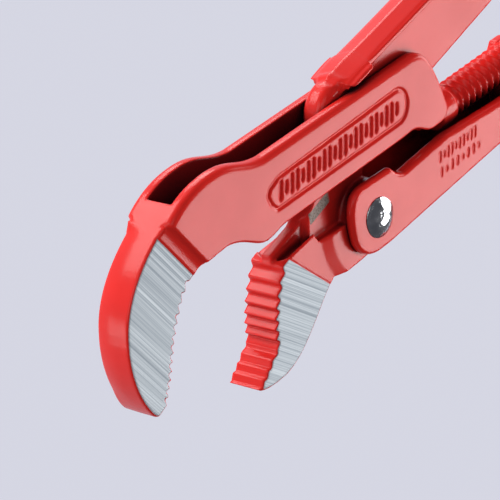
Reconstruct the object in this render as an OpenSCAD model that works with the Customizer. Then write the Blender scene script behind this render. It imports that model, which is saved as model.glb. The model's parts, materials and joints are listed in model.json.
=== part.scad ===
// Pipe wrench with S-shaped jaws, half-inch class.
// Frame: X runs along the wrench from the jaws to the handles, Y from the lower handle to the upper
// one, Z across its thickness. The origin is the centre of the gripped pipe, on the mid-plane.

/* [Handles] */
// Length over the hook and the handle ends
overall_len = 245; // [235:1:260]
// Thickness of the upper handle's web
web_t = 5.5; // [5:0.1:5.8]
// Width of the upper handle's outer flange
flange_w = 9.4; // [8:0.1:12]
// Width of the lower handle's fork
fork_w = 15.4; // [15:0.1:16.5]
// Width of the lower handle at its rear end
grip_w = 10; // [9:0.5:12]
// Diameter of the hanging hole
hang_d = 7; // [5:0.5:8]

/* [Hook jaw] */
// Thickness over both cheeks
head_t = 12.5; // [12:0.1:13.5]
// Width of the slot between the cheeks
slot_w = 6.5; // [6.5:0.1:6.9]
// Thickness of the hook
hook_t = 9; // [8:0.1:10]
// Height of the cheeks' straight top edge
cheek_top = 34.4; // [34:0.1:34.6]
// Depth of the teeth on both jaws
tooth_h = 0.9; // [0.5:0.1:1.2]

/* [Jaw lever] */
// Thickness of the lower jaw
jaw_t = 9; // [8:0.1:10]
// Thickness of the neck inside the slot
neck_t = 6; // [5.8:0.1:6]
// Thickness of the boss between the ears
boss_t = 10.8; // [10:0.1:10.8]
// Width over the lugs above the cheeks
lug_w = 12.5; // [11:0.1:13]

/* [Pivot] */
// Diameter of the rivet's shank
rivet_d = 7; // [6:0.1:7.5]
// Diameter of the rivet's domed head
rivet_head_d = 9; // [8.4:0.1:10]
// Height of the rivet's domed head
rivet_head_h = 1.8; // [1.2:0.1:2.2]

/* [Spindle and nut] */
// Outer diameter of the spindle's thread
spindle_d = 8.4; // [8:0.1:8.8]
// Pitch of the thread
pitch = 2.3; // [2:0.1:3]
// Outer diameter of the adjusting nut
nut_d = 15.2; // [14:0.1:15.2]
// Length of the adjusting nut
nut_len = 14; // [10:0.5:14]

/* [Hidden] */
$fn = 48;

red = [0.80, 0.12, 0.09];
steel = [0.70, 0.72, 0.74];

hook_x = -25.7;                        // foremost point of the hook
rear_x = hook_x + overall_len;         // rear ends of both handles
pivot = [50.4, 6.1];                   // rivet axis
boss_r = 8;
boss_shoulder_r = 12.8;
ear_gap = boss_t + 0.4;                // between the ears' inner faces
running = 0.05;                        // radial clearance of the running fits

spindle_y = 15.2;                      // height of the spindle's axis
spindle_r = spindle_d / 2;
root_x = 80.6;                         // where the spindle leaves the cheeks
thread_x = 86.5;                       // first crest of the thread
spindle_end_x = 152;
tang_x = [73.2, 80.6];                 // tang between the cheeks
tang_y = [15, 19.8];
tang_pin = [76.4, 17.7];
tang_pin_d = 2.6;
stop_pin_d = 2.5;
stop_x = spindle_end_x - 2.4;
stop_len = 11.6;

nut_x = 118.7;                         // front face of the nut
nut_play = 0.2;
lug_x = [113.5, nut_x - nut_play];     // thrust lugs in front of the nut
eye_x = [nut_x + nut_len + nut_play, nut_x + nut_len + 7];
lug_y = 16.9;                          // top of the thrust lugs
trough_w = 9.4;                        // trough under the spindle
trough_y = 4.6;                        // its floor
knurls = 30;

slot_front = [[-5.4, 39.5], [2.2, 16]]; // slanted front wall of the slot
cheek_bottom = 18.1;
band = [[-8.2, 34.1], [-0.5, 21.4]];   // line where the cheeks' faces end and slope to the hook
band_w = 3.7;

upper_end = [rear_x - 5.5, 61.4];      // centre of the upper handle's round end
upper_end_r = 5.5;
lower_end = [rear_x - 7.25, -1.25];    // centre of the lower handle's round end
lower_end_r = 7.25;

// A cubic curve from a to d with the handles b and c, in n steps, without its last point
function curve(a, b, c, d, n) =
    [for (i = [0 : n - 1]) let (t = i / n, s = 1 - t)
        s * s * s * a + 3 * s * s * t * b + 3 * s * t * t * c + t * t * t * d];

// Points of a row of n saw teeth on the same curve, cut to the left of its direction
function teeth(a, b, c, d, n, h) =
    [for (i = [0 : n - 1]) let (t = i / n, s = 1 - t, e = (i + 0.3) / n, f = 1 - e,
            crest = s * s * s * a + 3 * s * s * t * b + 3 * s * t * t * c + t * t * t * d,
            root = f * f * f * a + 3 * f * f * e * b + 3 * f * e * e * c + e * e * e * d,
            v = 3 * f * f * (b - a) + 6 * f * e * (c - b) + 3 * e * e * (d - c))
        each [crest, root + h * [-v[1], v[0]] / norm(v)]];

// Points of an arc about c, from angle a0 to a1, without its last point
function arc(c, r, a0, a1, n) = [for (i = [0 : n - 1]) let (a = a0 + (a1 - a0) * i / n)
    c + r * [cos(a), sin(a)]];

module plate(t) { translate([0, 0, -t / 2]) linear_extrude(t) children(); }

module along_x(x0, x1, y = 0) {
    translate([x0, y, 0]) rotate([90, 0, 90]) linear_extrude(x1 - x0) children();
}

// ---- hook jaw: two cheeks with a slot between them, and the toothed hook ----

// Side outline, from the crown round the cheeks' rear ends and back along the toothed hook
module hook_jaw_outline() {
    polygon(concat(
        curve(band[0], [-3.6, 37.2], [1, 38.4], [6.5, 38.3], 8),
        curve([6.5, 38.3], [13.5, 38.1], [15.5, cheek_top], [23, cheek_top], 8),
        curve([71, cheek_top], [78.5, cheek_top], [78.6, 27], [80.2, 20], 8),
        curve([80.2, 20], [81.4, 15.4], [78, 15.6], [75, 15.6], 6),
        curve([75, 15.6], [71, 15.6], [71.5, 18.6], [66, 18.4], 6),
        [[64, cheek_bottom]],
        curve([24, cheek_bottom], [21.5, cheek_bottom], [20, 17.1], [17.4, 17.1], 5),
        curve([17.4, 17.1], [13.5, 17.3], [11, 21.9], [4, 21.9], 7),
        [band[1]],
        teeth([-4.9, 19.2], [-13, 12.3], [-13.9, 3.2], [-18.4, -2.4], 13, -tooth_h),
        curve([-18.4, -2.4], [-20.2, -3], [-21.3, -5], [-23, -1.8], 6),
        curve([-23, -1.8], [-26, 3.5], [-26.3, 10.5], [-25, 15.5], 10),
        curve([-25, 15.5], [-23.4, 23.6], [-16.8, 29.3], [-9.2, 33.4], 12)));
}

// Thickness: the cheeks' full width, then a slope along the band down to the hook's width
module thickness_profile() {
    d = band[1] - band[0];
    translate([band[0][0], band[0][1], 0]) rotate([0, 0, atan2(d[1], d[0])])
        along_x(-60, 120) polygon([
            [120, head_t / 2], [0, head_t / 2], [-band_w, hook_t / 2], [-60, hook_t / 2],
            [-60, -hook_t / 2], [-band_w, -hook_t / 2], [0, -head_t / 2], [120, -head_t / 2]]);
}

module slot() {
    plate(slot_w) polygon([slot_front[0], slot_front[1], [90, 5], [90, 45], [-5.4, 45]]);
}

module hook_jaw() {
    color(red) difference() {
        intersection() {
            plate(head_t + 1) hook_jaw_outline();
            thickness_profile();
        }
        slot();
        translate(tang_pin) cylinder(d = tang_pin_d, h = head_t + 1, center = true);
    }
}

// ---- spindle: tang, round root and coarse rounded thread ----

module thread_profile() {
    core = spindle_r - 0.75;
    turns = floor((spindle_end_x - 4.5 - thread_x) / pitch);
    polygon(concat(
        [[0, root_x], [spindle_r, root_x], [spindle_r, thread_x]],
        [for (i = [0 : turns - 1], p = [[0.2, 0], [0.38, 1], [0.62, 1], [0.8, 0]])
            [p[1] > 0 ? core : spindle_r, thread_x + (i + p[0]) * pitch]],
        [[spindle_r, spindle_end_x - 0.8], [spindle_r - 0.8, spindle_end_x], [0, spindle_end_x]]));
}

module spindle() {
    color(red) difference() {
        union() {
            translate([0, spindle_y, 0]) rotate([0, 90, 0]) rotate_extrude() thread_profile();
            plate(slot_w) polygon([[tang_x[0], tang_y[0]], [tang_x[0], tang_y[1] - 2],
                [tang_x[0] + 2, tang_y[1]], [tang_x[1] + 1, tang_y[1]], [tang_x[1] + 1, tang_y[0]]]);
        }
        translate(tang_pin) cylinder(d = tang_pin_d, h = slot_w + 1, center = true);
        translate([stop_x, spindle_y, 0]) cylinder(d = stop_pin_d, h = spindle_d + 1, center = true);
    }
}

module spindle_pin() {
    color(red) translate(tang_pin) cylinder(d = tang_pin_d, h = head_t, center = true);
}

module stop_pin() {
    color(steel) translate([stop_x, spindle_y, 0]) cylinder(d = stop_pin_d, h = stop_len, center = true);
}

module adjusting_nut() {
    color(steel) difference() {
        translate([nut_x, spindle_y, 0]) rotate([0, 90, 0]) rotate_extrude() polygon([
            [spindle_r + running, 0], [nut_d / 2 - 1.2, 0], [nut_d / 2, 1.2],
            [nut_d / 2, nut_len - 1.2], [nut_d / 2 - 1.2, nut_len], [spindle_r + running, nut_len]]);
        for (i = [0 : knurls - 1])
            translate([nut_x - 1, spindle_y, 0]) rotate([i * 360 / knurls, 0, 0])
                translate([0, nut_d / 2 + 0.25, 0]) rotate([0, 90, 0])
                    cylinder(r = 0.65, h = nut_len + 2, $fn = 16);
    }
}

// ---- jaw lever: lower jaw, boss, neck, lugs and upper handle in one forging ----

module jaw_outline() {
    polygon(concat(
        [[50, -1.9], [39.8, -2.4], [36.4, -1.9]],
        curve([34.6, -3.2], [29, -7.4], [23, -14.8], [15.5, -15.2], 10),
        curve([15.5, -15.2], [11.6, -15.5], [8.8, -14.8], [7.7, -14.1], 4),
        teeth([7.7, -13.9], [9.6, -12.4], [11.5, -11], [13.1, -9.6], 3, -0.7 * tooth_h),
        [[13.1, -9.6], [15.1, -9.1]],
        teeth([15.2, -8.2], [15.6, -3.2], [17, 1.8], [21.6, 8.2], 7, -tooth_h),
        [[21.6, 8.3], [24.1, 9.3], [32.8, 10.5], [34, 8.1], [50, 8.1]]));
}

// Raised flank between the lower jaw and the ears, and the round boss that the ears turn about
module boss_outline() {
    intersection() {
        translate(pivot) circle(r = boss_shoulder_r);
        polygon([[30, -2.4], [39.8, -2.4], [pivot[0], pivot[1] - boss_r],
                 [pivot[0], pivot[1] + boss_r], [44, 11], [42, 8.1], [30, 8.1]]);
    }
    translate(pivot) circle(r = boss_r);
}

// Neck and web, one plate from the boss to the rear end of the upper handle
module web_outline() {
    polygon(concat(
        [[21.7, 8], [21.9, 10], [30.6, 12.2]],
        curve([30.6, 12.2], [37.5, 16], [41.2, 24], [42, 32], 8),
        curve([42, 32], [42.6, 36.5], [46, 38.2], [52, 38.6], 6),
        [[60, 39.7]],
        curve([83, 44.2], [120, 51.4], [165, 59.8], upper_end + [0, upper_end_r - 0.5], 16),
        arc(upper_end, upper_end_r - 0.5, 90, -90, 12),
        curve(upper_end - [0, upper_end_r - 0.5], [170, 49.4], [140, 41], [106, 32.1], 16),
        curve([106, 32.1], [92, 28.7], [78, 25.2], [66, 22.2], 4),
        curve([66, 22.2], [57.5, 20.2], [52.8, 18.4], [52.4, 12], 8),
        [[50, 6], [34, 0]]));
}

// Outer flange along the top of the upper handle
module flange_outline() {
    polygon(concat(
        [[50.5, 37.2], [51, 38], [60, 38.9]],
        curve([83, 43.4], [120, 50.8], [165, 59.6], upper_end + [0, upper_end_r], 16),
        arc(upper_end, upper_end_r, 90, -90, 14),
        [upper_end + [-1, -upper_end_r], upper_end + [-1, upper_end_r - 3]],
        curve(upper_end + [-1, upper_end_r - 2.2], [165, 57.6], [120, 49], [83, 41.8], 16),
        [[62, 37.8]]));
}

module lug_outline() {
    polygon(concat(
        curve([51.2, 37.4], [51.4, 36.2], [51.9, 36], [52.8, 36], 5),
        curve([52.8, 36], [54.6, 36], [57.5, 36.7], [59.6, 37.6], 6),
        [[59.6, 38.5], [52, 38]]));
}

module jaw_lever() {
    color(red) difference() {
        union() {
            plate(jaw_t) jaw_outline();
            plate(boss_t) boss_outline();
            plate(neck_t) intersection() {
                web_outline();
                translate([33, 0]) square([32, 40]);
            }
            plate(web_t) web_outline();
            plate(flange_w) flange_outline();
            plate(lug_w) lug_outline();
        }
        translate(pivot) cylinder(d = rivet_d + 2 * running, h = boss_t + 1, center = true);
    }
}

// ---- lower handle: two ears, trough, nut window with thrust lugs and rear eye, and the grip ----

module lower_outline() {
    polygon(concat(
        [[57, 14.7]],
        curve([46.8, 15], [42.3, 14.8], [41.6, 9.5], [41.7, 5.5], 8),
        curve([41.7, 5.5], [41.8, 0.4], [45.5, -1.5], [50, -1.5], 8),
        [[53, -1.4]],
        curve([94, 2], [104, 2.6], [107, -4.8], [118, -5], 10),
        curve([130, -5], [150, -5], [180, -8.8], lower_end - [0, lower_end_r], 12),
        arc(lower_end, lower_end_r, -90, 90, 16),
        curve(lower_end + [0, lower_end_r], [180, 7.4], [155, 8.6], [eye_x[1] + 3, 10.2], 12),
        [[eye_x[1], 12], [eye_x[1], lug_y], [lug_x[0] + 1, lug_y]],
        curve([lug_x[0] + 1, lug_y], [lug_x[0] - 0.6, 14], [108, 11.2], [104, 11.2], 6),
        [[97, 11.5], [77, 12.9], [61, 11.6], [59, 12.4]]));
}

// Plan of the lower handle: full width over the nut, narrower along the grip
module lower_plan() {
    half = fork_w / 2;
    side = concat([[41, half], [eye_x[1] + 2, half]],
                  curve([eye_x[1] + 2, half], [150, half], [152, grip_w / 2], [166, grip_w / 2], 8),
                  [[rear_x + 1, grip_w / 2]]);
    polygon(concat(side, [for (i = [len(side) - 1 : -1 : 0]) [side[i][0], -side[i][1]]]));
}

// Hollow beside the grip's web, on both sides
module grip_hollow() {
    for (z = [2.9, -2.9 - fork_w]) translate([0, 0, z]) linear_extrude(fork_w) polygon(concat(
        curve([152, 1.5], [170, 0.4], [185, -2.4], [200, -2.6], 8),
        [[200, -2.6]],
        curve([202, 4.5], [185, 5.6], [165, 8], [151, 12], 8),
        [[151, 12]]));
}

module lower_handle() {
    color(red) difference() {
        union() {
            intersection() {
                plate(fork_w) lower_outline();
                translate([0, 60, 0]) rotate([90, 0, 0]) linear_extrude(120) lower_plan();
            }
            along_x(eye_x[0], eye_x[1], spindle_y) circle(d = fork_w);
        }
        plate(ear_gap) union() {
            translate(pivot) circle(r = boss_r + 0.9);
            translate([pivot[0] - 20, -10]) square([20, 40]);
            translate([pivot[0] - 1, pivot[1]]) square([boss_r + 1.9, 20]);
        }
        translate([pivot[0], trough_y, -trough_w / 2]) cube([lug_x[0] - 5 - pivot[0], 20, trough_w]);
        along_x(100, eye_x[1] + 14, spindle_y) circle(r = spindle_r + 0.4);
        along_x(100, nut_x, spindle_y) translate([-spindle_r - 0.4, 0]) square([spindle_d + 0.8, 10]);
        translate([lug_x[1], spindle_y - nut_d / 2 - 0.5, -fork_w / 2 - 1])
            cube([nut_len + 2 * nut_play, 20, fork_w + 2]);
        grip_hollow();
        translate(pivot) cylinder(d = rivet_d, h = fork_w + 1, center = true);
        translate([pivot[0], pivot[1], -fork_w / 2]) cylinder(d1 = rivet_d + 2.4, d2 = rivet_d, h = 1.2);
        translate(lower_end) cylinder(d = hang_d, h = fork_w + 1, center = true);
    }
}

module pivot_rivet() {
    dome_r = (rivet_head_d * rivet_head_d / 4 + rivet_head_h * rivet_head_h) / (2 * rivet_head_h);
    color(steel) translate([pivot[0], pivot[1], 0]) {
        cylinder(d = rivet_d, h = fork_w, center = true);
        translate([0, 0, -fork_w / 2]) cylinder(d1 = rivet_d + 2.4, d2 = rivet_d, h = 1.2);
        translate([0, 0, fork_w / 2]) intersection() {
            translate([0, 0, rivet_head_h - dome_r]) sphere(r = dome_r);
            cylinder(d = rivet_head_d, h = rivet_head_h + 1);
        }
    }
}

jaw_lever();
lower_handle();
pivot_rivet();
hook_jaw();
spindle();
spindle_pin();
adjusting_nut();
stop_pin();
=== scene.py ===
"""Looks of the pipe wrench: dense meshes, materials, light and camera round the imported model.

Each forged piece is described as a field of distances, below zero inside the metal. Outlines in the
XY plane are spread through the thickness with rounded edges, joined and cut with small fillets, and
the zero level becomes a mesh. Outlines and fields are in millimetres, in the frame of part.scad;
meshes are in metres. X runs from the jaws to the handles, Y from the lower handle to the upper one,
Z across the thickness. The origin is the centre of the gripped pipe.
"""
import json
import math

import bpy
import numpy as np
from mathutils import Matrix, Vector

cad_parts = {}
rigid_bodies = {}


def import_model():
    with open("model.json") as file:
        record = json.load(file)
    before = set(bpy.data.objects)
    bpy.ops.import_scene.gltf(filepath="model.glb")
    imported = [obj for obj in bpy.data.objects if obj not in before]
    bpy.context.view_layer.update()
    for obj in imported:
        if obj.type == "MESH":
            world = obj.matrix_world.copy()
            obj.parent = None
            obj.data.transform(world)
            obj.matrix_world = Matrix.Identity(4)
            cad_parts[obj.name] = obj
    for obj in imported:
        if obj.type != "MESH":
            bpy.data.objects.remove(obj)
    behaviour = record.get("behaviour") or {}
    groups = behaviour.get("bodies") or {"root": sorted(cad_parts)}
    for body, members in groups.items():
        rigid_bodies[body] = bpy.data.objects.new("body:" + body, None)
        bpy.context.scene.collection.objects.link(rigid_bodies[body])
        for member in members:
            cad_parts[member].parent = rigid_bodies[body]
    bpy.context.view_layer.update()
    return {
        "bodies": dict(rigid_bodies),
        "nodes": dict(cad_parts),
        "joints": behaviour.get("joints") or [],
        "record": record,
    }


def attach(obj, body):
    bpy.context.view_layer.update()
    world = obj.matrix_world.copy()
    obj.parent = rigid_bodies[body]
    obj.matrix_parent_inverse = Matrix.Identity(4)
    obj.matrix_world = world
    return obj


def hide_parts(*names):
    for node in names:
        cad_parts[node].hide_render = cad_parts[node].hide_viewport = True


MM = 0.001

# Sizes and places that part.scad also holds
HEAD_T, SLOT_W, HOOK_T, CHEEK_TOP, TOOTH_H = 12.5, 6.5, 9.0, 34.4, 0.9
JAW_T, BOSS_T, NECK_T, WEB_T, LUG_W, FLANGE_W = 9.0, 10.8, 6.0, 5.5, 12.5, 9.4
FORK_W, GRIP_W, HANG_D = 15.4, 10.0, 7.0
PIVOT, BOSS_R = (50.4, 6.1), 8.0
RIVET_D, RIVET_HEAD_D, RIVET_HEAD_H = 7.0, 9.0, 1.8
SPINDLE_Y, SPINDLE_R, PITCH = 15.2, 4.2, 2.3
ROOT_X, THREAD_X, SPINDLE_END_X = 80.6, 86.5, 152.0
TANG_X, TANG_Y, TANG_PIN, TANG_PIN_D = (73.2, 80.6), (15.0, 19.8), (76.4, 17.7), 2.6
STOP_X, STOP_PIN_D, STOP_LEN = 149.6, 2.5, 11.6
NUT_X, NUT_LEN, NUT_D, KNURLS = 118.7, 14.0, 15.2, 30
LUG_X, EYE_X, LUG_Y = (113.5, 118.5), (132.9, 139.7), 16.9
TROUGH_W, TROUGH_Y = 9.4, 4.6
REAR_X = 219.3
UPPER_END, UPPER_END_R = (REAR_X - 5.5, 61.4), 5.5
LOWER_END, LOWER_END_R = (REAR_X - 7.25, -1.25), 7.25
CHEEK_BOTTOM = 18.1
SLOT_FRONT = ((-5.4, 39.5), (2.2, 16))    # slanted front wall of the slot
BAND = ((-8.2, 34.1), (-0.5, 21.4))       # edge where the cheeks slope down to the hook

# Finer sizes of the looks
BAND_LIP = (3.3, 3.6)                     # painted lip at the foot of the band, from the cheek's edge
HOOK_PAINT_EDGE = 3.62                    # where the bare steel starts, from the cheek's edge
JAW_PAINT_LINE = ((24.6, 8.3), (34.6, -2.6))
RIM_FALL = 0.8                            # how far the hook's rim falls away on the side z < 0
ROOF_FALL = 0.28                          # how fast the upper handle's flange falls to its sides
FLANGE_H = 2.4
RIB_HALF = 1.5                            # half width of the rib in front of the neck
GROOVE_W, GROOVE_DEPTH = 0.55, 0.45       # the groove round the cheeks' panel
CHEEK_BARS = ((24, 63.6), (23.3, 27.7), 1.8, 1.0, 0.5)      # bounds in X and Y, pitch, width, depth
HANDLE_BARS_HIGH = ((73.4, 86.4), (8.1, 10.7), 1.45, 0.75, 0.25)
HANDLE_BARS_LOW = ((73, 87), (4.7, 6.9), 2.0, 0.75, 0.25)
THREAD_DEPTH, KNURL_DEPTH = 0.95, 0.55
PIN_COVER = 5.7                           # the cross pin's ends lie this far out, under the paint

# Colours
PAINT_RED = (0.90, 0.028, 0.021, 1)
PAINT_RED_DEEP = (0.837, 0.0252, 0.0189, 1)
PAINTED_SHADE_RED = (0.012, 0.003, 0.006, 1)     # painted shade, darkest in the recesses where nearby surfaces occlude the coat
# how far the painted shade looks for surfaces that occlude the coat, in metres
PAINTED_SHADE_REACH = 0.012
RUBBED_DARK, RUBBED_LIGHT = (0.22, 0.16, 0.13, 1), (0.42, 0.35, 0.3, 1)
GROUND_STEEL = (0.42, 0.455, 0.485, 1)
GROUND_STEEL_DARK = (0.2604, 0.29575, 0.3298, 1)
PALE = (0.66, 0.667, 0.757, 1)            # the floor and what lies behind it


# ---- outlines ----

def cubic(a, b, c, d, t):
    """The point at t, from 0 to 1, on a cubic curve from a to d with the handles b and c."""
    return (1 - t) ** 3 * a + 3 * (1 - t) ** 2 * t * b + 3 * (1 - t) * t * t * c + t ** 3 * d


def curve(a, b, c, d, steps):
    """Points of a cubic curve, without its last point."""
    t = (np.arange(steps) / steps)[:, None]
    return cubic(*map(np.array, (a, b, c, d)), t)


def teeth(a, b, c, d, count, height, root_at=0.3):
    """A row of saw teeth on a cubic curve, cut to the left of its direction."""
    a, b, c, d = map(np.array, (a, b, c, d))
    points = []
    for i in range(count):
        t = (i + root_at) / count
        way = (1 - t) ** 2 * (b - a) + 2 * (1 - t) * t * (c - b) + t * t * (d - c)
        left = height * np.array([-way[1], way[0]]) / np.linalg.norm(way)
        points += [cubic(a, b, c, d, i / count), cubic(a, b, c, d, t) + left]
    return np.array(points)


def arc(centre, radius, start, end, steps):
    """Points of an arc from the angle start to end, in degrees, without its last point."""
    a = np.radians(start + (end - start) * np.arange(steps) / steps)
    return np.array(centre) + radius * np.stack([np.cos(a), np.sin(a)], 1)


def outline(*parts):
    """One outline from single points and rows of points."""
    return np.vstack([np.atleast_2d(np.array(p, float)) for p in parts])


def hook_teeth():
    return teeth((-4.9, 19.2), (-13, 12.3), (-13.9, 3.2), (-18.4, -2.4), 13, -1.25 * TOOTH_H)


def hook_jaw_outline():
    """Cheeks and hook seen from the side."""
    return outline(
        curve(BAND[0], (-3.6, 37.2), (1, 38.4), (6.5, 38.3), 12),
        curve((6.5, 38.3), (13.5, 38.1), (15.5, CHEEK_TOP), (23, CHEEK_TOP), 14),
        curve((71, CHEEK_TOP), (78.5, CHEEK_TOP), (78.6, 27), (80.2, 20), 14),
        curve((80.2, 20), (81.4, 15.4), (78, 15.6), (75, 15.6), 9),
        curve((75, 15.6), (71, 15.6), (71.5, 18.6), (66, 18.4), 9),
        (64, CHEEK_BOTTOM),
        curve((24, CHEEK_BOTTOM), (21.5, CHEEK_BOTTOM), (20, 17.1), (17.4, 17.1), 7),
        curve((17.4, 17.1), (13.5, 17.3), (11, 21.9), (4, 21.9), 12),
        BAND[1], hook_teeth(),
        curve((-18.4, -2.4), (-20.2, -3), (-21.3, -5), (-23, -1.8), 8),
        curve((-23, -1.8), (-26, 3.5), (-26.3, 10.5), (-25, 15.5), 14),
        curve((-25, 15.5), (-23.4, 23.6), (-16.8, 29.3), (-9.2, 33.4), 20))


def panel_outline():
    """The long recessed frame on the cheeks."""
    return outline(
        (20.8, 27.3), curve((23.9, 28.6), (40, 28.9), (55, 29.2), (64.3, 29.5), 6),
        curve((64.3, 29.5), (66.6, 29.5), (67.6, 27.4), (67.5, 25.8), 5),
        curve((67.5, 25.8), (67.2, 23.6), (65.6, 21.9), (63.3, 21.9), 5),
        (22.1, 22.1), (20.7, 23.4), (19.9, 25.9))


def jaw_teeth():
    return teeth((15.2, -8.2), (15.6, -3.2), (17, 1.8), (21.6, 8.2), 7, -1.3 * TOOTH_H, 0.66)


def lower_jaw_outline():
    return outline(
        [(50, -1.9), (39.8, -2.4), (36.4, -1.9)],
        curve((34.6, -3.2), (29, -7.4), (23, -14.8), (15.5, -15.2), 14),
        curve((15.5, -15.2), (11.6, -15.5), (8.8, -14.8), (7.7, -14.1), 6),
        teeth((7.7, -13.9), (9.6, -12.4), (11.5, -11), (13.1, -9.6), 3, -0.7 * TOOTH_H),
        [(13.1, -9.6), (15.1, -9.1)], jaw_teeth(),
        [(21.6, 8.3), (24.1, 9.3), (32.8, 10.5), (34, 8.1), (50, 8.1)])


def upper_ridge():
    """Top line of the upper handle, from the neck to the middle of its rear end."""
    return outline(
        curve((49.6, 37.6), (52, 38.2), (54, 38.9), (56.8, 39.5), 6),
        curve((56.8, 39.5), (61, 40.1), (66, 41.1), (83, 44.6), 6),
        curve((83, 44.6), (120, 51.8), (165, 60.2), (UPPER_END[0], UPPER_END[1] + UPPER_END_R), 20),
        arc(UPPER_END, UPPER_END_R, 90, 0, 10), (UPPER_END[0] + UPPER_END_R, UPPER_END[1]))


def upper_handle_outline():
    """Neck, web and handle seen from the side."""
    end = np.array(UPPER_END)
    return outline(
        [(21.7, 8), (21.9, 10), (30.6, 12.2)],
        curve((30.6, 12.2), (37.5, 16), (41.6, 22), (42.5, 29), 12),
        curve((42.5, 29), (42.9, 33.2), (44.8, 36.8), (49.6, 37.6), 12),
        upper_ridge(), arc(UPPER_END, UPPER_END_R, 0, -90, 10),
        curve(end - (0, UPPER_END_R), (170, 49.4), (140, 41), (106, 32.1), 20),
        curve((106, 32.1), (92, 28.7), (78, 25.2), (66, 22.2), 6),
        curve((66, 22.2), (57.5, 20.2), (52.8, 18.4), (52.4, 12), 10),
        [(50, 6), (34, 0)])


def lug_outline():
    """The two lugs above the cheeks' top edges."""
    return outline(
        curve((51.2, 37.4), (51.3, 36.4), (51.6, 36.1), (52.6, 36.1), 5),
        curve((52.6, 36.1), (54.6, 36.2), (57.5, 36.9), (59.9, 37.7), 6),
        [(60.2, 43), (51.2, 43)])


def lower_handle_outline():
    end = np.array(LOWER_END)
    return outline(
        (57, 14.7),
        curve((46.8, 15), (42.3, 14.8), (41.6, 9.5), (41.7, 5.5), 12),
        curve((41.7, 5.5), (41.8, 0.4), (45.5, -1.5), (50, -1.5), 12), (53, -1.4),
        curve((94, 2), (104, 2.6), (107, -4.8), (118, -5), 16),
        curve((130, -5), (150, -5), (180, -8.8), end - (0, LOWER_END_R), 18),
        arc(LOWER_END, LOWER_END_R, -90, 90, 24),
        curve(end + (0, LOWER_END_R), (180, 7.4), (155, 8.6), (EYE_X[1] + 3, 10.2), 18),
        [(EYE_X[1], 12), (EYE_X[1], LUG_Y), (LUG_X[0] + 1, LUG_Y)],
        curve((LUG_X[0] + 1, LUG_Y), (LUG_X[0] - 0.6, 14), (108, 11.2), (104, 11.2), 9),
        [(97, 11.5), (77, 12.9), (61, 11.6), (59, 12.4)])


def grip_hollow_outline():
    """The long recess in both sides of the lower handle's grip."""
    return outline(
        curve((152, 1.5), (170, 0.4), (185, -2.4), (200, -2.6), 12), (200, -2.6),
        curve((202, 4.5), (185, 5.6), (165, 8), (151, 12), 12), (151, 12))


# ---- distance fields ----

class Grid:
    """Points in space: x, y and z hold the coordinates, shaped so that they spread over the grid.
    rise(x), where given, lifts each column of the grid, so that its rows follow a slanted edge."""

    def __init__(self, xs, ys, zs, rise=None):
        self.axes, self.rise = (xs, ys, zs), rise
        self.x, self.y, self.z = xs[:, None, None], ys[None, :, None], zs[None, None, :]
        if rise:
            self.y = self.y + rise(self.x)
        self.height = np.abs(self.z)

    def distance(self, points, closed=True):
        """Distance to an outline in the XY plane, below zero inside it if it is closed."""
        x, y = np.broadcast_arrays(self.x[:, :, 0], self.y[:, :, 0])
        nearest, inside = np.full(x.shape, 1e9), np.zeros(x.shape, bool)
        ends = np.roll(points, -1, axis=0)
        for (ax, ay), (bx, by) in zip(points if closed else points[:-1], ends):
            dx, dy = bx - ax, by - ay
            if dx == dy == 0:
                continue
            t = np.clip(((x - ax) * dx + (y - ay) * dy) / (dx * dx + dy * dy), 0, 1)
            nearest = np.minimum(nearest, (x - ax - t * dx) ** 2 + (y - ay - t * dy) ** 2)
            if dy:
                inside ^= ((ay > y) != (by > y)) & (x < ax + dx * (y - ay) / dy)
        away = np.sqrt(nearest)
        return np.where(inside & closed, -away, away)[:, :, None]

    def past_line(self, a, b):
        """How far a point lies to the left of the line from a to b."""
        dx, dy = b[0] - a[0], b[1] - a[1]
        return ((self.y - a[1]) * dx - (self.x - a[0]) * dy) / math.hypot(dx, dy)

    def radius(self, centre):
        """Distance from an axis along Z."""
        return np.hypot(self.x - centre[0], self.y - centre[1])

    def spindle_radius(self):
        """Distance from the spindle's axis."""
        return np.hypot(self.y - SPINDLE_Y, self.z)


def spaced(*stops):
    """Coordinates from stops (start, spacing), (next start, spacing), ..., end."""
    ends = [s[0] for s in stops[1:-1]] + [stops[-1]]
    runs = [np.linspace(a, b, round((b - a) / step), endpoint=False)
            for (a, step), b in zip(stops[:-1], ends)]
    return np.concatenate(runs + [[stops[-1]]])


def rounded(a, b, r):
    """The overlap of two regions, with their common edge rounded to r."""
    return (np.minimum(np.maximum(a, b) + r, 0)
            + np.hypot(np.maximum(a + r, 0), np.maximum(b + r, 0)) - r)


def joined(a, b, fillet):
    """Both regions together, with a fillet where they meet."""
    blend = np.maximum(fillet - np.abs(a - b), 0) / fillet
    return np.minimum(a, b) - blend * blend * fillet / 4


def cut(a, b, edge):
    """The first region without the second, with the new edge softened."""
    return -joined(-a, b, edge)


def eased(value, low, high):
    """From 0 at low to 1 at high, smoothly."""
    t = np.clip((value - low) / (high - low), 0, 1)
    return t * t * (3 - 2 * t)


def box(grid, xs, ys, half_z):
    """Distance to a block, from its bounds in X and Y and its half width."""
    return np.maximum(np.maximum(np.maximum(xs[0] - grid.x, grid.x - xs[1]),
                                 np.maximum(ys[0] - grid.y, grid.y - ys[1])), grid.height - half_z)


def slanted_bars(grid, xs, ys, pitch, width, depth):
    """Depth of a row of engraved slanted bars, a plain stand-in for raised marks."""
    middle, lean = (ys[0] + ys[1]) / 2, 0.28
    along = grid.x - (grid.y - middle) * lean - xs[0]
    count = np.clip(np.round(along / pitch), 0, round((xs[1] - xs[0]) / pitch))
    reach = (ys[1] - ys[0]) / 2 * np.where(count % 3 == 1, 0.62, 1) - width / 2
    across = np.hypot(along - count * pitch, np.maximum(np.abs(grid.y - middle) - reach, 0))
    return depth * (1 - eased(across, 0.25 * width, 0.6 * width))


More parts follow.
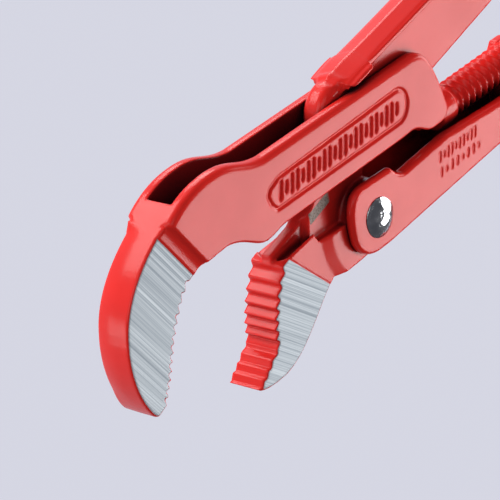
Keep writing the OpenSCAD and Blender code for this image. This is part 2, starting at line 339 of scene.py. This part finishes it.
def hook_jaw_field(grid):
    """Two cheeks round the slot, the panel on their sides, and the toothed hook."""
    depth = grid.past_line(BAND[0], BAND[1])      # past the cheek's edge, above zero over the cheek
    slope = HOOK_T / 2 + 0.22 + (HEAD_T - HOOK_T - 0.44) / 2 * np.exp(np.minimum(depth, 0) / 0.9)
    lip = (1 - eased(-depth, *BAND_LIP)) * 0.22
    half = np.where(depth > 0, HEAD_T / 2, np.where(-depth < BAND_LIP[0], slope, HOOK_T / 2 + lip))
    frame = grid.distance(panel_outline())
    groove = GROOVE_DEPTH * (1 - eased(np.abs(frame), 0.1, GROOVE_W))
    bars = slanted_bars(grid, *CHEEK_BARS)
    half = half - np.maximum(groove, bars)
    flank = (grid.height - half) / np.where((depth < 0) & (depth > -BAND_LIP[0]), 1.35, 1)
    body = grid.distance(hook_jaw_outline())
    edge = np.where(depth > -1, 0.35 + 1.15 * eased(grid.y, 20, 31), 0.5)
    to_teeth = grid.distance(hook_teeth(), closed=False)
    rim = eased(to_teeth, 3, 7) * eased(-depth, 1, 4)
    body = body + RIM_FALL * rim * np.clip((1 - grid.z) / 5.5, 0, 1) ** 2
    edge = edge * (0.3 + 0.7 * eased(to_teeth, 0.8, 3))
    jaw = rounded(body, flank, edge)
    slot = outline(SLOT_FRONT, [(90, 5), (90, 45), (-5.4, 45)])
    jaw = cut(jaw, np.maximum(grid.distance(slot), grid.height - SLOT_W / 2), 0.5)
    bore = np.maximum(grid.radius(TANG_PIN) - TANG_PIN_D / 2 - 0.03, grid.height - PIN_COVER)
    return cut(jaw, bore, 0.1)


def lower_jaw_field(grid):
    """Lower jaw with its ground sides, the painted flank beside it and the boss inside the ears."""
    from_pivot = grid.radius(PIVOT)
    painted = eased(grid.past_line(*JAW_PAINT_LINE), 0, 0.45)
    flank = (JAW_T / 2 + 0.14 * painted
             + (BOSS_T - JAW_T - 0.28) / 2 * np.clip((16.1 - from_pivot) / 3.1, 0, 1) * painted)
    edge = 0.12 + 0.35 * eased(grid.distance(jaw_teeth(), closed=False), 0.8, 3)
    jaw = rounded(grid.distance(lower_jaw_outline()), grid.height - flank, edge)
    floor = 7.6 + 0.06 * (grid.x - 23.4) + 1.1 * (grid.z < 0)
    ditch = np.maximum(np.maximum(22.8 + 0.5 * (grid.height - RIB_HALF) - grid.x, grid.x - 37),
                       np.maximum(floor - grid.y, RIB_HALF - grid.height))
    jaw = cut(jaw, np.maximum(ditch, grid.z - 3.9), 0.5)
    boss = rounded(from_pivot - BOSS_R, grid.height - BOSS_T / 2, 0.4)
    return joined(jaw, boss, 0.6)


def upper_handle_field(grid):
    """Neck and web, with the roof-shaped flange along the top and the lugs above the cheeks."""
    side = grid.distance(upper_handle_outline())
    half = (RIB_HALF + (NECK_T / 2 - RIB_HALF) * eased(grid.x - 0.25 * (grid.y - 12), 32.1, 33.5)
            - (NECK_T - WEB_T) / 2 * eased(grid.x, 58, 66))
    nose = eased(grid.y, 20, 28) * (1 - eased(grid.x, 50, 54))
    web = rounded(side, grid.height - half, 0.5 + 1.7 * nose)
    ridge = upper_ridge()
    roof = grid.distance(outline((-60, 36), ridge, [(REAR_X, -60), (-60, -60)]))
    top = roof + ROOF_FALL * grid.height
    under = -roof - FLANGE_H
    start = 51.2 - grid.x
    body = np.maximum(np.maximum(top, under) * 0.95, np.maximum(side, start))
    flange = rounded(body, grid.height - FLANGE_W / 2, 0.12)
    lug_side = np.maximum(grid.distance(lug_outline()), top * 0.95)
    lug = rounded(lug_side, grid.height - LUG_W / 2, 0.45)
    web = np.maximum(web, (top + 0.9 * eased(grid.x, 51.5, 53)) * 0.95)
    return joined(joined(web, flange, 1.7), lug, 0.5)


def jaw_lever_field(grid):
    """The lower jaw and the upper handle as one forging, bored for the rivet."""
    lever = joined(lower_jaw_field(grid), upper_handle_field(grid), 0.7)
    return cut(lever, grid.radius(PIVOT) - RIVET_D / 2 - 0.05, 0.3)


def ear_gap(grid):
    """The space between the ears, where the jaw lever's boss turns."""
    round_boss = grid.radius(PIVOT) - BOSS_R - 0.9
    ahead = box(grid, (PIVOT[0] - 20, PIVOT[0]), (-10, 30), 50)
    above = box(grid, (PIVOT[0] - 1, PIVOT[0] + BOSS_R + 0.9), (PIVOT[1], 30), 50)
    gap = np.minimum(round_boss, np.minimum(ahead, above))
    return np.maximum(gap, grid.height - (BOSS_T + 0.4) / 2)


def lower_handle_field(grid):
    """Ears, the trough under the spindle, the fork that holds the nut, and the hollowed grip."""
    half = GRIP_W / 2 + (FORK_W - GRIP_W) / 2 * (1 - eased(grid.x, EYE_X[1] + 3, 163))
    half = half - slanted_bars(grid, *HANDLE_BARS_HIGH) - slanted_bars(grid, *HANDLE_BARS_LOW)
    side = grid.distance(lower_handle_outline())
    handle = rounded(side, grid.height - half, 0.9)
    middle = (EYE_X[0] + EYE_X[1]) / 2
    ring = rounded(grid.spindle_radius() - FORK_W / 2,
                   np.abs(grid.x - middle) - (EYE_X[1] - EYE_X[0]) / 2, 1.1)
    handle = joined(handle, ring, 1.6)
    handle = cut(handle, ear_gap(grid), 0.4)
    trough = box(grid, (PIVOT[0], LUG_X[0] - 5), (TROUGH_Y, TROUGH_Y + 20), TROUGH_W / 2)
    bed = np.maximum(grid.spindle_radius() - SPINDLE_R - 0.4,
                     np.maximum(100 - grid.x, grid.x - EYE_X[1] - 14))
    above = box(grid, (100, NUT_X), (SPINDLE_Y, SPINDLE_Y + 10), SPINDLE_R + 0.4)
    window = box(grid, (LUG_X[1], EYE_X[0]), (SPINDLE_Y - NUT_D / 2 - 0.5, SPINDLE_Y + 13), 50)
    for space in (trough, bed, above, window):
        handle = cut(handle, space, 0.6)
    hollow = np.maximum(grid.distance(grip_hollow_outline()), 2.9 - grid.height)
    handle = cut(handle, hollow, 0.9)
    handle = cut(handle, grid.radius(PIVOT) - RIVET_D / 2 - 0.02, 0.3)
    return cut(handle, grid.radius(LOWER_END) - HANG_D / 2, 0.9)


# ---- meshes ----

def crossings(field, axes, axis):
    """Where the zero level crosses the grid lines along an axis, and the four cells round each one."""
    low = np.moveaxis(field, axis, 0)
    before, after = low[:-1] < 0, low[1:] < 0
    found = np.argwhere(before != after)
    at = np.empty_like(found)
    others = [k for k in range(3) if k != axis]
    at[:, axis], at[:, others[0]], at[:, others[1]] = found.T
    step = np.zeros(3, int)
    step[axis] = 1
    f0, f1 = field[tuple(at.T)], field[tuple((at + step).T)]
    points = np.stack([axes[k][at[:, k]] for k in range(3)], 1)
    spacing = axes[axis][at[:, axis] + 1] - axes[axis][at[:, axis]]
    points[:, axis] += spacing * f0 / (f0 - f1)
    u, v = np.eye(3, dtype=int)[(axis + 1) % 3], np.eye(3, dtype=int)[(axis + 2) % 3]
    ring = np.stack([at - u - v, at - v, at, at - u], 1)
    ring[f0 > 0] = ring[f0 > 0][:, ::-1]
    return points, ring


def level_mesh(name, field, grid):
    """A mesh on the field's zero level, with one corner in each grid cell that the level crosses."""
    found = [crossings(field, grid.axes, axis) for axis in range(3)]
    points = np.concatenate([np.repeat(p, 4, axis=0) for p, _ in found])
    cells = np.concatenate([r.reshape(-1, 3) for _, r in found])
    keys, corner = np.unique(np.ravel_multi_index(cells.T, field.shape), return_inverse=True)
    share = np.bincount(corner)
    corners = np.stack([np.bincount(corner, points[:, k]) / share for k in range(3)], 1)
    if grid.rise:
        corners[:, 1] += grid.rise(corners[:, 0])
    return mesh_object(name, corners, corner.reshape(-1, 4).tolist())


def mesh_object(name, corners_mm, faces):
    """A smooth-shaded object in the scene, from corners in millimetres."""
    mesh = bpy.data.meshes.new(name)
    mesh.from_pydata((np.asarray(corners_mm) * MM).tolist(), [], faces)
    mesh.validate()
    mesh.polygons.foreach_set("use_smooth", [True] * len(mesh.polygons))
    mesh.update()
    made = bpy.data.objects.new(name, mesh)
    bpy.context.scene.collection.objects.link(made)
    return made


def ring_faces(rows, around):
    """Quads between rows of points that each go once round."""
    row, col = np.meshgrid(np.arange(rows - 1), np.arange(around), indexing="ij")
    first, beside = row * around + col, row * around + (col + 1) % around
    return np.stack([first, beside, beside + around, first + around], -1).reshape(-1, 4)


def turned(name, profile, around=96, shape=None):
    """A solid turned about X, from a profile of (along, radius) points that starts and ends close
    to the axis or closes on itself. shape(along, radius, angle) may change the radius."""
    profile = np.array(profile, float)
    angle = np.arange(around) * 2 * math.pi / around
    along = np.repeat(profile[:, 0][:, None], around, 1)
    radius = np.repeat(profile[:, 1][:, None], around, 1)
    if shape:
        radius = shape(along, radius, angle[None, :])
    points = np.stack([along, radius * np.cos(angle), radius * np.sin(angle)], -1).reshape(-1, 3)
    faces = ring_faces(len(profile), around).tolist()
    if profile[0, 1] > 0 and np.allclose(profile[0], profile[-1]):
        points = points[:-around]
        faces = (np.array(faces) % len(points)).tolist()
    else:
        faces.append(list(range(around))[::-1])
        faces.append([(len(profile) - 1) * around + i for i in range(around)])
    return mesh_object(name, points, faces)


def bevelled(length, radius, bevel, steps=5):
    """Profile of a pin with rounded ends, centred on zero."""
    bend = np.linspace(0, math.pi / 2, steps + 1)
    start = [(-length / 2 + bevel - bevel * math.cos(b), radius - bevel + bevel * math.sin(b))
             for b in bend]
    return start + [(-x, r) for x, r in reversed(start)]


def on_spindle_axis(piece):
    """Moves a piece turned about X onto the spindle's axis."""
    piece.data.transform(Matrix.Translation((0, SPINDLE_Y * MM, 0)))
    return piece


def along_z(piece, centre):
    """Turns a piece made along X to run along Z, through the centre."""
    place = Matrix.Translation((centre[0] * MM, centre[1] * MM, 0))
    piece.data.transform(place @ Matrix.Rotation(-math.pi / 2, 4, "Y"))
    return piece


def make_hook_jaw():
    grid = Grid(spaced((-27, 0.3), 82), spaced((-6, 0.32), (21, 0.3), (31, 0.36), 40),
                spaced((-7, 0.33), 7))
    return level_mesh("hook_jaw_forging", hook_jaw_field(grid), grid)


def make_jaw_lever():
    ridge = upper_ridge()
    ridge = ridge[ridge[:, 0] < UPPER_END[0]]
    grid = Grid(spaced((7.5, 0.3), (70, 0.5), (100, 0.8), (205, 0.5), 221),
                spaced((-17, 0.3), (34.5, 0.2), 39), spaced((-7, 0.3), 7),
                rise=lambda x: np.interp(x, ridge[:, 0], ridge[:, 1] - ridge[0, 1]))
    return level_mesh("jaw_lever_forging", jaw_lever_field(grid), grid)


def make_lower_handle():
    grid = Grid(spaced((40, 0.42), (71, 0.28), (89, 0.42), (142, 0.6), 221),
                spaced((-10, 0.42), (4, 0.3), (11, 0.42), 25), spaced((-8.4, 0.38), 8.4))
    return level_mesh("lower_handle_forging", lower_handle_field(grid), grid)


def thread(along, radius, angle):
    """Right-hand rounded thread that fades in at the root and out at the end, on a squared root."""
    turn = (along - THREAD_X) / PITCH - angle / (2 * math.pi)
    valley = (0.5 + 0.5 * np.cos(2 * math.pi * turn)) ** 0.5
    begun = eased(along, THREAD_X - 1.5, THREAD_X + 1.8)
    ended = eased(along, SPINDLE_END_X - 6, SPINDLE_END_X - 4)
    deep = THREAD_DEPTH * begun * (1 - ended)
    squared = 2 + 0.5 * (1 - eased(along, THREAD_X - 2.5, THREAD_X + 1.5))
    block = (np.abs(np.cos(angle)) ** squared + np.abs(np.sin(angle)) ** squared) ** (-1 / squared)
    return radius * block - deep * valley * (radius > 1)


def make_spindle():
    front, end, r = ROOT_X, SPINDLE_END_X, SPINDLE_R
    rows = np.arange(front + 0.5, end - 0.8, PITCH / 16)
    profile = ([(front, 0.01), (front, r - 0.5), (front + 0.15, r - 0.15)]
               + [(x, r) for x in rows]
               + [(end - 0.4, r - 0.15), (end, r - 0.8), (end, 0.01)])
    return on_spindle_axis(turned("spindle_screw", profile, 132, thread))


def make_tang():
    """The spindle's flat end between the cheeks."""
    grid = Grid(spaced((TANG_X[0] - 1, 0.3), TANG_X[1] + 3),
                spaced((TANG_Y[0] - 1, 0.3), TANG_Y[1] + 1), spaced((-4, 0.3), 4))
    side = box(grid, (TANG_X[0], TANG_X[1] + 1.5), TANG_Y, 50)
    corner = (grid.y - grid.x - (TANG_Y[1] - 2 - TANG_X[0])) / math.sqrt(2)
    tang = rounded(np.maximum(side, corner), grid.height - SLOT_W / 2 + 0.02, 0.3)
    tang = cut(tang, grid.radius(TANG_PIN) - TANG_PIN_D / 2 - 0.02, 0.1)
    return level_mesh("spindle_tang", tang, grid)


def knurl(along, radius, angle):
    """Straight knurling, fading towards the nut's ends."""
    inner = radius < SPINDLE_R + 1
    ridge = 0.5 + 0.5 * np.cos(angle * KNURLS)
    middle = 1 - eased(np.abs(along - NUT_X - NUT_LEN / 2), NUT_LEN / 2 - 1.6, NUT_LEN / 2 - 0.4)
    return radius - np.where(inner, 0, KNURL_DEPTH * (1 - ridge ** 0.6) * middle)


def make_nut():
    front, end, r, bore = NUT_X, NUT_X + NUT_LEN, NUT_D / 2, SPINDLE_R + 0.05
    rim = [(front, r - 1.3), (front + 0.35, r - 0.75), (front + 0.9, r - 0.2), (front + 1.5, r)]
    body = [(x, r) for x in np.linspace(front + 2, end - 2, 12)]
    far_rim = [(front + end - x, q) for x, q in reversed(rim)]
    inside = [(end - 0.1, bore + 0.5), (end - 0.6, bore), (front + 0.6, bore), (front + 0.1, bore + 0.5)]
    profile = rim + body + far_rim + inside
    return on_spindle_axis(turned("adjusting_nut_knurled", profile + profile[:1], KNURLS * 10, knurl))


def hammered(along, radius, angle):
    """Shallow dents left by riveting, on the dome only."""
    dent = np.cos(3 * angle + 0.6) * np.cos(radius * 2.1) + 0.6 * np.cos(5 * angle + 2 + radius)
    return radius * (1 + 0.008 * dent * (along > FORK_W / 2 + 0.1))


def make_rivet():
    half, r, head_r = FORK_W / 2, RIVET_D / 2, RIVET_HEAD_D / 2
    sphere = (head_r ** 2 + RIVET_HEAD_H ** 2) / (2 * RIVET_HEAD_H)
    top, rim = half + RIVET_HEAD_H, math.asin(head_r / sphere)
    flat_end = [(-half, 0.01), (-half, r + 1.1), (-half + 0.15, r + 1.0), (-half + 1.2, r)]
    collar = [(half - 0.3, r), (half - 0.05, head_r - 0.5),
              (half + 0.02, head_r - 0.1), (half + 0.14, head_r)]
    dome = [(top - sphere * (1 - math.cos(rim * t)), sphere * math.sin(rim * t))
            for t in np.linspace(0.95, 0.03, 26)]
    return along_z(turned("pivot_rivet_domed", flat_end + collar + dome, 96, hammered), PIVOT)


def make_pin(name, centre, length, diameter):
    side = bevelled(length, diameter / 2, 0.3)
    return along_z(turned(name, [(-length / 2, 0.01)] + side + [(length / 2, 0.01)], 48), centre)


# ---- materials ----

class Nodes:
    """A material's node tree, with short ways to add nodes and link them."""

    def __init__(self, name):
        self.material = bpy.data.materials.new(name)
        self.material.use_nodes = True
        self.tree = self.material.node_tree
        self.shader = self.tree.nodes["Principled BSDF"]
        self.place = self.tree.nodes.new("ShaderNodeTexCoord").outputs["Object"]

    def add(self, kind, inputs=(), **settings):
        node = self.tree.nodes.new("ShaderNode" + kind)
        for key, value in settings.items():
            setattr(node, key, value)
        for key, value in dict(inputs).items():
            self.set(node.inputs[key], value)
        return node

    def set(self, socket, value):
        if isinstance(value, bpy.types.NodeSocket):
            self.tree.links.new(value, socket)
        else:
            socket.default_value = value

    def math(self, operation, a, b=0.0):
        return self.add("Math", {0: a, 1: b}, operation=operation).outputs[0]

    def between(self, value, low, high, to_low=0.0, to_high=1.0):
        """value spread from low..high to to_low..to_high, and held at the ends."""
        return self.add("MapRange", {"Value": value, "From Min": low, "From Max": high,
                                     "To Min": to_low, "To Max": to_high}).outputs[0]

    def noise(self, scale, detail=2.0, where=None):
        return self.add("TexNoise", {"Vector": where or self.place, "Scale": scale,
                                     "Detail": detail}).outputs["Fac"]

    def mix(self, factor, a, b, kind="RGBA"):
        """a where factor is 0 and b where it is 1: colours, numbers (FLOAT) or directions (VECTOR)."""
        node = self.add("Mix", {"Factor": factor}, data_type=kind)
        pair = ("FLOAT", "VECTOR", "RGBA").index(kind)
        self.set(node.inputs[2 + 2 * pair], a)
        self.set(node.inputs[3 + 2 * pair], b)
        return node.outputs[pair]

    def bump(self, height, distance, strength=1.0):
        return self.add("Bump", {"Height": height, "Distance": distance,
                                 "Strength": strength}).outputs[0]

    def finish(self, **inputs):
        """Sets the shader's own sockets, named with _ for a space."""
        for key, value in inputs.items():
            self.set(self.shader.inputs[key.replace("_", " ")], value)
        return self.material


def grain(nodes, angle):
    """Straight grinding marks along the direction angle in the XY plane."""
    def streaks(length, width):
        place = nodes.add("Mapping", {"Vector": nodes.place,
                                      "Rotation": (0, 0, math.radians(angle)),
                                      "Scale": (length * MM, width * MM, 20 * MM)},
                          vector_type="TEXTURE")
        return nodes.noise(1.0, 2, place.outputs[0])
    return nodes.math("ADD", nodes.math("MULTIPLY", streaks(90, 0.26), 0.62),
                      nodes.math("MULTIPLY", streaks(160, 0.9), 0.38))


def paint_colour(nodes, cloud, shade_mask):
    """The red coat, with shade painted darker into the recesses and onto the faces that the given mask
    marks.
    """
    paint = nodes.mix(nodes.between(cloud, 0.35, 0.65), PAINT_RED, PAINT_RED_DEEP)
    # painted shade: the coat is darkened where nearby surfaces occlude it
    open_air = nodes.add("AmbientOcclusion", {"Distance": PAINTED_SHADE_REACH}, samples=8).outputs["AO"]
    paint = nodes.mix(nodes.between(open_air, 0.25, 0.75), PAINTED_SHADE_RED, paint)
    # painted shade on the faces that the given mask marks, such as the slot's inner walls
    if shade_mask:
        paint = nodes.mix(nodes.math("MULTIPLY", shade_mask(nodes), 0.7), paint, PAINTED_SHADE_RED)
    return paint


def orange_peel(nodes):
    """The slight waviness of the coat's skin."""
    fine = nodes.math("MULTIPLY", nodes.noise(2600, 1.0), 0.35)
    return nodes.bump(nodes.math("ADD", nodes.noise(700, 1.5), fine), 0.000012, 0.6)


def painted_material(name, bare=None, grind_angle=0.0, worn=None, shade_mask=None):
    """Glossy red powder coat, with painted shade in its recesses. bare(nodes) marks where the steel is
    ground bare, 0 to 1, worn(nodes) where the coat is rubbed through, and the last mask where shade is
    painted into the coat."""
    nodes = Nodes(name)
    cloud = nodes.noise(90, 3)
    colour, metal, normal = paint_colour(nodes, cloud, shade_mask), 0.0, orange_peel(nodes)
    rough = nodes.between(cloud, 0.3, 0.7, 0.17, 0.24)
    if worn:
        rubbed, speck = worn(nodes), nodes.between(nodes.noise(2400, 2), 0.4, 0.6)
        colour = nodes.mix(rubbed, colour, nodes.mix(speck, RUBBED_DARK, RUBBED_LIGHT))
        rough = nodes.mix(rubbed, rough, 0.5, "FLOAT")
    if bare:
        steel, lines = bare(nodes), grain(nodes, grind_angle)
        ground = nodes.mix(nodes.between(lines, 0.38, 0.62), GROUND_STEEL_DARK, GROUND_STEEL)
        colour = nodes.mix(steel, colour, ground)
        metal = nodes.math("MULTIPLY", steel, 0.45)
        rough = nodes.mix(steel, rough, nodes.between(lines, 0.3, 0.7, 0.6, 0.48), "FLOAT")
        normal = nodes.mix(steel, normal, nodes.bump(lines, 0.00003, 0.5), "VECTOR")
    return nodes.finish(Base_Color=colour, Metallic=metal, Roughness=rough, Normal=normal,
                        Specular_IOR_Level=0.2)


def past_line_mask(nodes, a, b, beyond, width=0.05):
    """1 where a point lies more than beyond to the right of the line from a to b, in millimetres."""
    dx, dy = b[0] - a[0], b[1] - a[1]
    length = math.hypot(dx, dy)
    across = nodes.add("VectorMath", {0: nodes.place, 1: (dy / length, -dx / length, 0)},
                       operation="DOT_PRODUCT").outputs["Value"]
    start = (a[0] * dy - a[1] * dx) / length + beyond
    return nodes.between(across, (start - width) * MM, (start + width) * MM)


def face_mask(nodes, half_thickness):
    """1 on the flat side faces at half_thickness from the mid-plane."""
    z = nodes.add("SeparateXYZ", {0: nodes.place}).outputs["Z"]
    return nodes.between(nodes.math("ABSOLUTE", z), (half_thickness - 0.09) * MM,
                         (half_thickness - 0.04) * MM)


def ground_hook(nodes):
    """1 on the hook's ground sides."""
    return nodes.math("MULTIPLY", past_line_mask(nodes, BAND[0], BAND[1], HOOK_PAINT_EDGE),
                      face_mask(nodes, HOOK_T / 2))


def ground_jaw(nodes):
    """1 on the lower jaw's ground sides."""
    return nodes.math("MULTIPLY", past_line_mask(nodes, *JAW_PAINT_LINE, 0.0),
                      face_mask(nodes, JAW_T / 2))


def slot_wall_shade(nodes):
    """1 on the inner faces of the slot between the cheeks, where shade is painted into the coat."""
    height = nodes.math("ABSOLUTE", nodes.add("SeparateXYZ", {0: nodes.place}).outputs["Z"])
    inner = nodes.between(height, (SLOT_W / 2 + 0.05) * MM, (SLOT_W / 2 + 0.15) * MM, 1, 0)
    return nodes.math("MULTIPLY", inner, past_line_mask(nodes, SLOT_FRONT[1], SLOT_FRONT[0], 0.0))


def rubbed_neck(nodes):
    """The patch on the neck where the cheeks' inner faces slide."""
    split = nodes.add("SeparateXYZ", {0: nodes.place})
    x, y, z = split.outputs
    rise = nodes.math("MULTIPLY", nodes.math("SUBTRACT", x, 0.0342), 0.3)
    slanted = nodes.math("SUBTRACT", y, rise)
    inside = nodes.math("MULTIPLY", nodes.between(slanted, 0.0117, 0.0119),
                        nodes.between(slanted, 0.0144, 0.0142))
    length = nodes.math("MULTIPLY", nodes.between(x, 0.0338, 0.0340),
                        nodes.between(x, 0.0412, 0.0405))
    face = nodes.between(nodes.math("ABSOLUTE", z), 0.0028, 0.0029)
    return nodes.math("MULTIPLY", nodes.math("MULTIPLY", inside, length), face)


def steel_material(name, cloud, dark, light, roughness, bump):
    """Bare steel, clouded from dark to light and over the range of roughness. cloud is the scale and
    detail of that noise, and bump the scale, depth and strength of the unevenness."""
    nodes = Nodes(name)
    cloud = nodes.noise(*cloud)
    colour = nodes.mix(nodes.between(cloud, 0.35, 0.65), dark, light)
    scale, depth, strength = bump
    return nodes.finish(Base_Color=colour, Metallic=1.0,
                        Roughness=nodes.between(cloud, 0.3, 0.7, *roughness),
                        Normal=nodes.bump(nodes.noise(scale, 2), depth, strength))


def polished_steel():
    return steel_material("rivet_polished_steel", (420, 3), (0.62, 0.64, 0.67, 1),
                          (0.78, 0.79, 0.81, 1), (0.12, 0.24), (430, 0.0004, 1.0))


def satin_steel():
    return steel_material("nut_satin_steel", (260, 4), (0.50, 0.51, 0.53, 1),
                          (0.66, 0.67, 0.69, 1), (0.28, 0.4), (1600, 0.00002, 0.35))


# ---- scene ----

def place_piece(piece, body, slot, material, *nodes):
    """Puts a finished piece on its body, in place of CAD nodes."""
    piece.data.materials.clear()
    piece.data.materials.append(material)
    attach(piece, body)
    if nodes:
        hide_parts(*nodes)


def build_wrench():
    """Every piece on its body, with its material."""
    plain = painted_material("red_powder_coat")
    jaw_paint = painted_material("red_coat_ground_jaw", ground_jaw, -41, rubbed_neck)
    # the hook's coat gets painted shade on the slot's inner walls
    hook_paint = painted_material("red_coat_ground_hook", ground_hook, -58, shade_mask=slot_wall_shade)
    steel = satin_steel()
    place_piece(make_jaw_lever(), "jaw_lever", "red_paint", jaw_paint, "jaw_lever")
    place_piece(make_lower_handle(), "lower_handle", "red_paint", plain, "lower_handle")
    place_piece(make_rivet(), "lower_handle", "rivet_steel", polished_steel(), "pivot_rivet")
    place_piece(make_hook_jaw(), "hook_jaw", "red_paint", hook_paint, "hook_jaw")
    place_piece(make_spindle(), "hook_jaw", "red_paint", plain, "spindle")
    place_piece(make_tang(), "hook_jaw", "red_paint", plain)
    cross_pin = make_pin("spindle_pin_flush", TANG_PIN, 2 * PIN_COVER - 0.1, TANG_PIN_D)
    place_piece(cross_pin, "hook_jaw", "red_paint", plain, "spindle_pin")
    stop_pin = make_pin("stop_pin_pressed", (STOP_X, SPINDLE_Y), STOP_LEN, STOP_PIN_D)
    place_piece(stop_pin, "hook_jaw", "nut_steel", steel, "stop_pin")
    place_piece(make_nut(), "adjusting_nut", "nut_steel", steel, "adjusting_nut")


def add_camera():
    """A long lens that looks along the jaws, from above the side with the rivet's head."""
    camera = bpy.data.objects.new("camera", bpy.data.cameras.new("camera"))
    camera.data.sensor_width = 36
    camera.data.lens = 201.6
    camera.data.clip_start, camera.data.clip_end = 0.05, 20
    right = Vector((0.63163, -0.18295, 0.75338))
    up = Vector((0.45601, 0.87355, -0.17019))
    back = right.cross(up)
    turn = Matrix((right, up, back)).transposed().to_4x4()
    camera.matrix_world = Matrix.Translation((-0.3463, 0.2755, 0.36886)) @ turn
    bpy.context.scene.collection.objects.link(camera)
    bpy.context.scene.camera = camera


def add_panel_light(name, direction, distance, size, power, target=(0.03, 0.01, 0)):
    """A soft rectangular light in that direction from the target, facing it."""
    light = bpy.data.lights.new(name, "AREA")
    light.shape, light.size, light.size_y, light.energy = "RECTANGLE", size[0], size[1], power
    lamp = bpy.data.objects.new(name, light)
    way = Vector(direction).normalized()
    lamp.matrix_world = (Matrix.Translation(Vector(target) + way * distance)
                         @ way.to_track_quat("Z", "Y").to_matrix().to_4x4())
    lamp.visible_camera = False
    bpy.context.scene.collection.objects.link(lamp)


def add_light():
    """Soft panels placed where the painted faces mirror them towards the camera, and the backdrop."""
    add_panel_light("softbox_key", (0.625, -0.451, 0.637), 0.9, (0.46, 0.46), 4.6)
    add_panel_light("softbox_right", (0.95, -0.05, 0.3), 0.9, (0.5, 0.5), 3.6)
    add_panel_light("softbox_left", (-0.82, 0.56, 0.12), 0.9, (0.5, 0.5), 1.7)
    add_panel_light("softbox_top", (-0.36, 0.6, 0.72), 1.1, (0.6, 0.6), 1.7)
    add_panel_light("strip_rim", (-0.76, -0.01, -0.637), 0.40, (0.12, 0.3), 0.4, (-0.02, 0.01, 0))
    add_panel_light("strip_crown", (-0.16, 0.75, -0.637), 0.42, (0.26, 0.14), 0.8, (0, 0.035, 0))
    add_panel_light("strip_rib", (0.5, 0.69, -0.52), 0.45, (0.2, 0.2), 0.6, (0.03, 0.01, 0))
    world = bpy.data.worlds.new("studio")
    world.use_nodes = True
    tree = world.node_tree
    backdrop = tree.nodes["Background"]
    backdrop.inputs["Color"].default_value = PALE
    seen = tree.nodes.new("ShaderNodeLightPath").outputs["Is Camera Ray"]
    strength = tree.nodes.new("ShaderNodeMath")
    strength.operation = "MAXIMUM"
    strength.inputs[1].default_value = 0.12
    tree.links.new(seen, strength.inputs[0])
    tree.links.new(strength.outputs[0], backdrop.inputs["Strength"])
    bpy.context.scene.world = world
    bpy.context.scene.view_settings.view_transform = "Standard"


def add_floor():
    """A plain pale floor well below the wrench, lit evenly so that no shadow reads on it."""
    reach, low = 3000, -320
    corners = [(x * reach, y * reach, low) for x, y in ((-1, -1), (1, -1), (1, 1), (-1, 1))]
    floor = mesh_object("floor", corners, [(0, 1, 2, 3)])
    floor.data.materials.append(Nodes("pale_floor").finish(
        Base_Color=(0.01, 0.01, 0.012, 1), Roughness=1.0, Specular_IOR_Level=0.0,
        Emission_Color=PALE, Emission_Strength=1.0))


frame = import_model()
build_wrench()
add_floor()
add_light()
add_camera()
